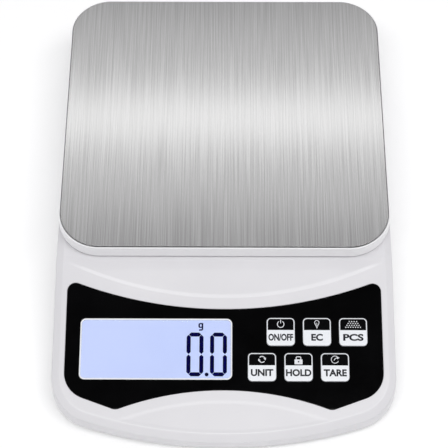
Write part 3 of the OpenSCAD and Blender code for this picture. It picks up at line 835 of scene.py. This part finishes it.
# ---------------------------------------------------------------- panel, display
def make_front_panel():
    openings = [clockwise(lcd_outline(PANEL_OPENING_GAP))]
    openings += [clockwise(key_outline(name, KEY_GAP)) for name in KEY_CENTRES]
    profile = rounded_edge(-POCKET, PANEL_TOP_N, PANEL_ROUND)
    return solid("front_panel_overlay", "panel_black", [panel_outline(0)] + openings, profile, PANEL_MATRIX)


def make_bezel():
    loops = [lcd_outline(0), clockwise(lcd_outline(-BEZEL))]
    profile = rounded_edge(BEZEL_LOW_N, BEZEL_TOP_N, BEZEL_ROUND)
    return solid("display_bezel_ring", "bezel_white", loops, profile, PANEL_MATRIX)


def make_window():
    outline = lcd_outline(-BEZEL - WINDOW_GAP)
    profile = [(0, WINDOW_LOW_N), (0, WINDOW_TOP_N - 0.02), (0.02, WINDOW_TOP_N)]
    return solid("display_window_lens", "window_clear", [outline], profile, PANEL_MATRIX)


def make_lcd():
    outline = lcd_outline(-BEZEL - WINDOW_GAP, GLASS_R)
    profile = [(0, GLASS_LOW_N), (0, GLASS_TOP_N - 0.1), (0.05, GLASS_TOP_N)]
    return solid("lcd_lit_glass", "lcd", [outline], profile, PANEL_MATRIX)


# the figures of the display, in the panel's frame
SEGMENT_W = 1.95
SEGMENT_GAP = 0.12
FIGURE_LOW, FIGURE_HIGH = -55.4, -34.05
NOUGHTS = [(-17.8, -9.75), (-6.6, 1.45)]
POINT_CENTRE, POINT_R = (-8.15, -54.5), 0.92
GRAM_CENTRE = (-11.08, -31.25)

# printing: its thickness, and how far it is sunk so that no two faces lie in one plane
INK_T = 0.03
INK_SINK = 0.005


def segment(ax, ay, bx, by):
    """A bar from a to b with pointed ends."""
    along = Vector((bx - ax, by - ay)).normalized()
    side = Vector((-along.y, along.x)) * SEGMENT_W / 2
    a = Vector((ax, ay)) + along * SEGMENT_GAP
    b = Vector((bx, by)) - along * SEGMENT_GAP
    tip = along * SEGMENT_W / 2
    loop = [a, a + tip - side, b - tip - side, b, b - tip + side, a + tip + side]
    return [tuple(p) for p in loop]


def zero_segments(left, right, low, high):
    """The six segments of a nought, within its outer size."""
    x0, x1 = left + SEGMENT_W / 2, right - SEGMENT_W / 2
    y0, y1 = low + SEGMENT_W / 2, high - SEGMENT_W / 2
    middle = (low + high) / 2
    return [segment(x0, y0, x1, y0), segment(x0, y1, x1, y1),
            segment(x0, y0, x0, middle), segment(x0, middle, x0, y1),
            segment(x1, y0, x1, middle), segment(x1, middle, x1, y1)]


def rings_of(shape):
    """A printed shape is a loop or a tuple of a loop and its hole."""
    return shape if isinstance(shape, tuple) else (shape,)


def ink(name, material, shapes, base):
    """Thin printed shapes on the sloped panel, joined into one piece."""
    profile = [(0, base), (0, base + INK_T)]
    parts = [solid(f"{name}_{i}", material, list(rings_of(shape)), profile, PANEL_MATRIX)
             for i, shape in enumerate(shapes)]
    return joined(name, parts)


def gram_sign(cx, cy):
    """A plain letter g of one stroke width: its outline, and the hole of its bowl."""
    edge = arc(-0.3, 1.05, 0.86, 90, 180, 8) + arc(-0.3, 0.35, 0.86, 180, 270, 8) + [(0.42, -0.51)]
    edge += arc(0.16, -0.9, 0.26, 0, -90, 4) + [(-0.8, -1.16), (-0.9, -1.88)]
    edge += arc(0.26, -1.0, 0.88, -90, 0, 8) + [(1.14, 1.91)]
    hole = round_rect(0.82, 1.2, 0.28, (-0.02, 0.7), 4)
    return ([(cx + x, cy + y) for x, y in edge], clockwise([(cx + x, cy + y) for x, y in hole]))


def make_figures():
    """0.0 and the gram sign, as liquid crystal segments."""
    shapes = []
    for left, right in NOUGHTS:
        shapes += zero_segments(left, right, FIGURE_LOW, FIGURE_HIGH)
    shapes.append(arc(*POINT_CENTRE, POINT_R, 0, 345, 23))
    shapes.append(gram_sign(*GRAM_CENTRE))
    return ink("display_figures", "lcd_ink", shapes, GLASS_TOP_N)


# how far a letter's outline is moved outwards, as a share of the text's own size, and the distance in
# metres under which two of its points are one
LETTER_BOLDNESS = 0.038
SAME_VERTEX = 1e-7


def lettering(name, text, material, centre, size, base):
    """Plain sans text as a thin solid, stretched to size, on the sloped panel."""
    curve = bpy.data.curves.new(name + "_text", "FONT")
    curve.body = text
    curve.extrude = 0.5
    curve.resolution_u = 5
    curve.offset = LETTER_BOLDNESS
    holder = bpy.data.objects.new(name + "_text", curve)
    bpy.context.scene.collection.objects.link(holder)
    mesh = bpy.data.meshes.new_from_object(holder.evaluated_get(bpy.context.evaluated_depsgraph_get()))
    bpy.data.objects.remove(holder)
    bpy.data.curves.remove(curve)
    points = np.array([v.co for v in mesh.vertices])
    low, high = points.min(0), points.max(0)
    points = (points - (low + high) / 2) / (high - low)
    points = points * [size[0], size[1], INK_T] + [centre[0], centre[1], base + INK_T / 2]
    mesh.vertices.foreach_set("co", (points * MM).ravel())
    work = bmesh.new()
    work.from_mesh(mesh)
    bmesh.ops.remove_doubles(work, verts=work.verts, dist=SAME_VERTEX)
    bmesh.ops.recalc_face_normals(work, faces=work.faces)
    work.to_mesh(mesh)
    work.free()
    mesh.transform(PANEL_MATRIX)
    mesh.materials.clear()
    mesh.materials.append(MATERIALS[material])
    piece = bpy.data.objects.new(name, mesh)
    bpy.context.scene.collection.objects.link(piece)
    return piece


# ---------------------------------------------------------------- keys
# the black upper field of a key, inside a pale edge, and its corner radius
SPLIT_DROP = 6.0
RING_W = 0.52
FIELD_R = KEY_R - 0.5

ICON_LIFT = 3.65
LABEL_DROP = 2.75
LABEL_H = 3.4
LABELS = {"on_off": ("ON/OFF", 11.8), "ec": ("EC", 5.5), "pcs": ("PCS", 9.7),
          "unit": ("UNIT", 10.6), "hold": ("HOLD", 12.0), "tare": ("TARE", 10.9)}


# the icons below are loops in millimetres round their own middle
def stroke(points, width):
    """A band of constant width along an open line."""
    path = [Vector(p) for p in points]
    left, right = [], []
    for i, p in enumerate(path):
        along = (path[min(i + 1, len(path) - 1)] - path[max(i - 1, 0)]).normalized()
        side = Vector((-along.y, along.x)) * width / 2
        left.append(tuple(p + side))
        right.append(tuple(p - side))
    return right + left[::-1]


def arrow_head(tip, angle, size):
    """Triangle whose tip points along angle."""
    return [(tip[0] + size * cos(radians(angle + turn)), tip[1] + size * sin(radians(angle + turn)))
            for turn in (0, 125, 235)]


def icon_power():
    """An open ring with a bar in its gap."""
    return [stroke(arc(0, 0, 1.58, 122, 418, 28), 0.36), round_rect(0.38, 1.9, 0.17, (0, 1.35), 4)]


def icon_light():
    """A light bulb."""
    bulb = arc(0, 0.85, 1.2, -25, 205, 18) + [(-0.5, -0.95), (0.5, -0.95)]
    glow = clockwise(arc(0, 0.85, 0.92, -25, 205, 18) + [(-0.24, -0.7), (0.24, -0.7)])
    thread = round_rect(0.22, 1.1, 0.1, (0, 0.2), 3)
    cap = round_rect(0.8, 0.42, 0.12, (0, -1.3), 3)
    tip = round_rect(0.36, 0.4, 0.12, (0, -1.8), 3)
    return [(bulb, glow), thread, cap, tip]


def icon_count():
    """A heap of dots in four rows."""
    pitch_x, pitch_y, top, dot_r = 1.16, 0.94, 1.4, 0.29
    loops = []
    for row, count in enumerate((4, 5, 6, 7)):
        for i in range(count):
            loops.append(arc(pitch_x * (i - (count - 1) / 2), top - pitch_y * row, dot_r, 0, 330, 11))
    return loops


def icon_unit():
    """Two arrows that chase each other round a circle."""
    r = 1.45
    loops = []
    for turn in (0, 180):
        loops.append(stroke(arc(0, 0, r, turn + 20, turn + 140, 14), 0.42))
        a = radians(turn + 10)
        loops.append(arrow_head((r * cos(a), r * sin(a)), turn - 75, 0.75))
    return loops


def icon_hold():
    """A padlock."""
    hole = clockwise(arc(0, -1.1, 0.36, 0, 330, 11))
    bends = arc(-0.6, 0.8, 0.5, 180, 90, 6) + arc(0.6, 0.8, 0.5, 90, 0, 6)
    shackle = stroke([(-1.1, 0.07)] + bends + [(1.1, 0.07)], 0.4)
    return [(round_rect(3.8, 2.4, 0.2, (0, -1.15), 4), hole), shackle]


def icon_tare():
    """An open ring with a curved arrow into it."""
    ring = stroke(arc(0, 0, 1.75, 50, 335, 28), 0.3)
    return [ring, stroke(arc(1.25, -0.85, 1.7, 165, 95, 10), 0.33), arrow_head((1.45, 0.85), 0, 0.78)]


ICONS = {"on_off": icon_power, "ec": icon_light, "pcs": icon_count,
         "unit": icon_unit, "hold": icon_hold, "tare": icon_tare}


def make_key(name):
    """A key's cap, and the black field, icon and label printed on it."""
    cx, cs = KEY_CENTRES[name]
    node = body = "key_" + name
    profile = rounded_edge(-WALL, KEY_PROUD, KEY_ROUND, 4)
    cap = solid(node + "_cap", "key_face", [key_outline(name)], profile, PANEL_MATRIX)
    fit(cap, body, "key_face", node)

    top = cs + KEY_SIZE[1] / 2 - RING_W
    split = cs + KEY_SIZE[1] / 2 - SPLIT_DROP
    half = KEY_SIZE[0] / 2 - RING_W
    r = FIELD_R
    field = [(cx - half, split), (cx + half, split)]
    field += arc(cx + half - r, top - r, r, 0, 90, 8) + arc(cx - half + r, top - r, r, 90, 180, 8)
    black = ink(node + "_black", "key_black", [field], KEY_PROUD - INK_SINK)
    fit(black, body, "key_face")

    shapes = [tuple([(x + cx, y + cs + ICON_LIFT) for x, y in ring] for ring in rings_of(shape))
              for shape in ICONS[name]()]
    icon = ink(node + "_icon", "key_pale", shapes, KEY_PROUD + INK_T - 2 * INK_SINK)
    fit(icon, body, "key_face")

    text, width = LABELS[name]
    place, size = (cx, cs - LABEL_DROP), (width, LABEL_H)
    label = lettering(node + "_label", text, "key_dark", place, size, KEY_PROUD - INK_SINK)
    fit(label, body, "key_face")


# ---------------------------------------------------------------- platform
TRAY_WALL = 2.5
TRAY_FLOOR_T = 2
TAPE_ROOM = 0.3
TRAY_DRAFT = 0.35
TRAY_ROUND = 0.48
LIP_DROP = 0.15
GROOVE_W = 0.42
GROOVE_DEPTH = 1.2
PLATE_BREAK = 0.12


def platform_loop(low, high, r):
    """The rounded outline of a box that lies round the platform's centre."""
    return round_rect(high.x - low.x, high.y - low.y, r, (0, PLATFORM_Y),
                      PLATFORM_CORNER_STEPS, PLATFORM_SIDE_PARTS)


def make_tray():
    """Hollow from below. A dark groove is left between its lip and the steel plate."""
    low, top = TRAY_LOW.z, TRAY_HIGH.z
    rim = (TRAY_HIGH.x - TRAY_LOW.x - (PLATE_HIGH.x - PLATE_LOW.x)) / 2
    floor = PLATE_LOW.z - TAPE_ROOM
    lip = top - LIP_DROP
    groove = rim - GROOVE_W
    profile = [(TRAY_WALL, floor - TRAY_FLOOR_T), (TRAY_WALL, low)]
    profile += [(0.35, low), (0.1, low + 0.1), (0, low + 0.35)]
    profile += [(TRAY_DRAFT + inset, z) for inset, z in rounded_edge(low, lip, TRAY_ROUND, 8)[1:]]
    profile += [(groove - 0.04, lip), (groove - 0.015, lip - 0.03), (groove, lip - 0.1)]
    profile.append((groove, floor - GROOVE_DEPTH))
    loop = platform_loop(TRAY_LOW, TRAY_HIGH, PLATE_R + rim)
    return solid("platform_tray_shell", "tray_white", [loop], profile, sharp=32)


def make_plate():
    """Its edge is softly broken, and its UV map gives the direction of the brushing."""
    low, top = PLATE_LOW.z, PLATE_HIGH.z
    loop = platform_loop(PLATE_LOW, PLATE_HIGH, PLATE_R)
    profile = [(0.15, low), (0, low + PLATE_BREAK), (0, top - PLATE_BREAK),
               (0.02, top - 0.05), (0.06, top - 0.01), (PLATE_BREAK, top)]
    plate = solid("weighing_plate_sheet", "steel", [loop], profile, sharp=50)
    layer = plate.data.uv_layers.new(name="brushing")
    for corner in plate.data.loops:
        place = plate.data.vertices[corner.vertex_index].co
        layer.data[corner.index].uv = (place.x, place.y)
    return plate


# ---------------------------------------------------------------- feet
FEET = ("foot_front_left", "foot_front_right", "foot_back_left", "foot_back_right")
FOOT_POINTS = 48


def make_foot(name):
    """A round pad with a dimple below and a soft lower edge."""
    low, high = box_mm(name)
    r = (high.x - low.x) / 2
    centre = ((low.x + high.x) / 2, (low.y + high.y) / 2)
    loop = arc(*centre, r, 0, 360 - 360 / FOOT_POINTS, FOOT_POINTS - 1)
    dimple = [(3.2, low.z + 0.6), (3.0, low.z + 0.1), (2.8, low.z)]
    side = [(0.9, low.z), (0.35, low.z + 0.2), (0.1, low.z + 0.6), (0, high.z)]
    return solid(name + "_pad", "rubber_foot", [loop], dimple + side)


# ---------------------------------------------------------------- stage and light
# the studio's tone by the height of the direction (0 level, 1 straight up): pale at the horizon, dim above
# it, bright higher up, and dark straight above
SKY = [(0.0, 0.78), (0.08, 0.42), (0.35, 0.42), (0.70, 0.90), (0.90, 0.90), (0.955, 0.22), (1.0, 0.12)]
SKY_STRENGTH = 0.70
SKY_RED_GREEN = 0.985
FLOOR_HALF = 25.0
FLOOR_GLOW = 0.12

# name, place, aim, size and power, in metres and watts. The two at the back lie where the middle of the steel
# plate mirrors the camera's view
FRONT_AIM = (0, 0, 0.02)
MIRRORED_PLACE, MIRRORED_AIM = (0, 0.834, 1.177), (0, 0.045, 0.038)
LIGHTS = [("front_softbox", (0.15, -0.55, 1.92), FRONT_AIM, (2.4, 0.6), 23.8),
          ("back_strip", MIRRORED_PLACE, MIRRORED_AIM, (1.6, 0.06), 0.54),
          ("back_glow", MIRRORED_PLACE, MIRRORED_AIM, (1.6, 0.30), 0.54)]


def make_stage():
    size = FLOOR_HALF
    corners = [(-size, -size, 0), (size, -size, 0), (size, size, 0), (-size, size, 0)]
    mesh = bpy.data.meshes.new("floor")
    mesh.from_pydata(corners, [], [(0, 1, 2, 3)])
    floor = bpy.data.objects.new("floor", mesh)
    m = Nodes("floor")
    m.link(m.tint(m.noise(4, 2), (0.93, 0.93, 0.93), (0.95, 0.95, 0.95)), m.shader.inputs["Base Color"])
    m.set(Roughness=0.9, Specular_IOR_Level=0.0, Emission_Color=(1, 1, 1, 1), Emission_Strength=FLOOR_GLOW)
    mesh.materials.append(m.material)
    bpy.context.scene.collection.objects.link(floor)


def make_light(name, place, aim, size, power):
    data = bpy.data.lights.new(name, "AREA")
    data.shape = "RECTANGLE"
    data.size, data.size_y = size
    data.energy = power
    light = bpy.data.objects.new(name, data)
    bpy.context.scene.collection.objects.link(light)
    light.location = place
    light.rotation_euler = (Vector(aim) - Vector(place)).to_track_quat("-Z", "Y").to_euler()


def make_world():
    world = bpy.data.worlds.new("studio")
    world.use_nodes = True
    bpy.context.scene.world = world
    tree = world.node_tree
    background = tree.nodes["Background"]
    direction = tree.nodes.new("ShaderNodeTexCoord").outputs["Generated"]
    split = tree.nodes.new("ShaderNodeSeparateXYZ")
    tones = tree.nodes.new("ShaderNodeValToRGB")
    tree.links.new(direction, split.inputs["Vector"])
    tree.links.new(split.outputs["Z"], tones.inputs["Fac"])
    tree.links.new(tones.outputs["Color"], background.inputs["Color"])
    while len(tones.color_ramp.elements) < len(SKY):
        tones.color_ramp.elements.new(0.5)
    for stop, (height, tone) in zip(tones.color_ramp.elements, SKY):
        stop.position = height
        stop.color = (tone * SKY_RED_GREEN, tone * SKY_RED_GREEN, tone, 1)
    background.inputs["Strength"].default_value = SKY_STRENGTH


# ---------------------------------------------------------------- put it together
make_camera()
bpy.context.scene.view_settings.view_transform = "Standard"
make_world()
for light_settings in LIGHTS:
    make_light(*light_settings)
make_stage()

slot_of = {part["node"]: part["material_slot"] for part in frame["record"]["subparts"]}
for node, holder in frame["nodes"].items():
    holder.data.materials.clear()
    holder.data.materials.append(MATERIALS[slot_of[node]])

fit(make_top_cover(), "housing", "housing_white", "top_cover")
fit(make_front_panel(), "housing", "panel_black", "front_panel")
fit(make_bezel(), "housing", "bezel_white", "display_bezel")
fit(make_window(), "housing", "window_clear", "display_window")
fit(make_lcd(), "housing", "lcd", "lcd_glass")
fit(make_figures(), "housing", "lcd")
for key_name in KEY_CENTRES:
    make_key(key_name)
fit(make_tray(), "platform", "tray_white", "platform_tray")
fit(make_plate(), "platform", "steel", "weighing_plate")
for foot_name in FEET:
    fit(make_foot(foot_name), "housing", "rubber_foot", foot_name)
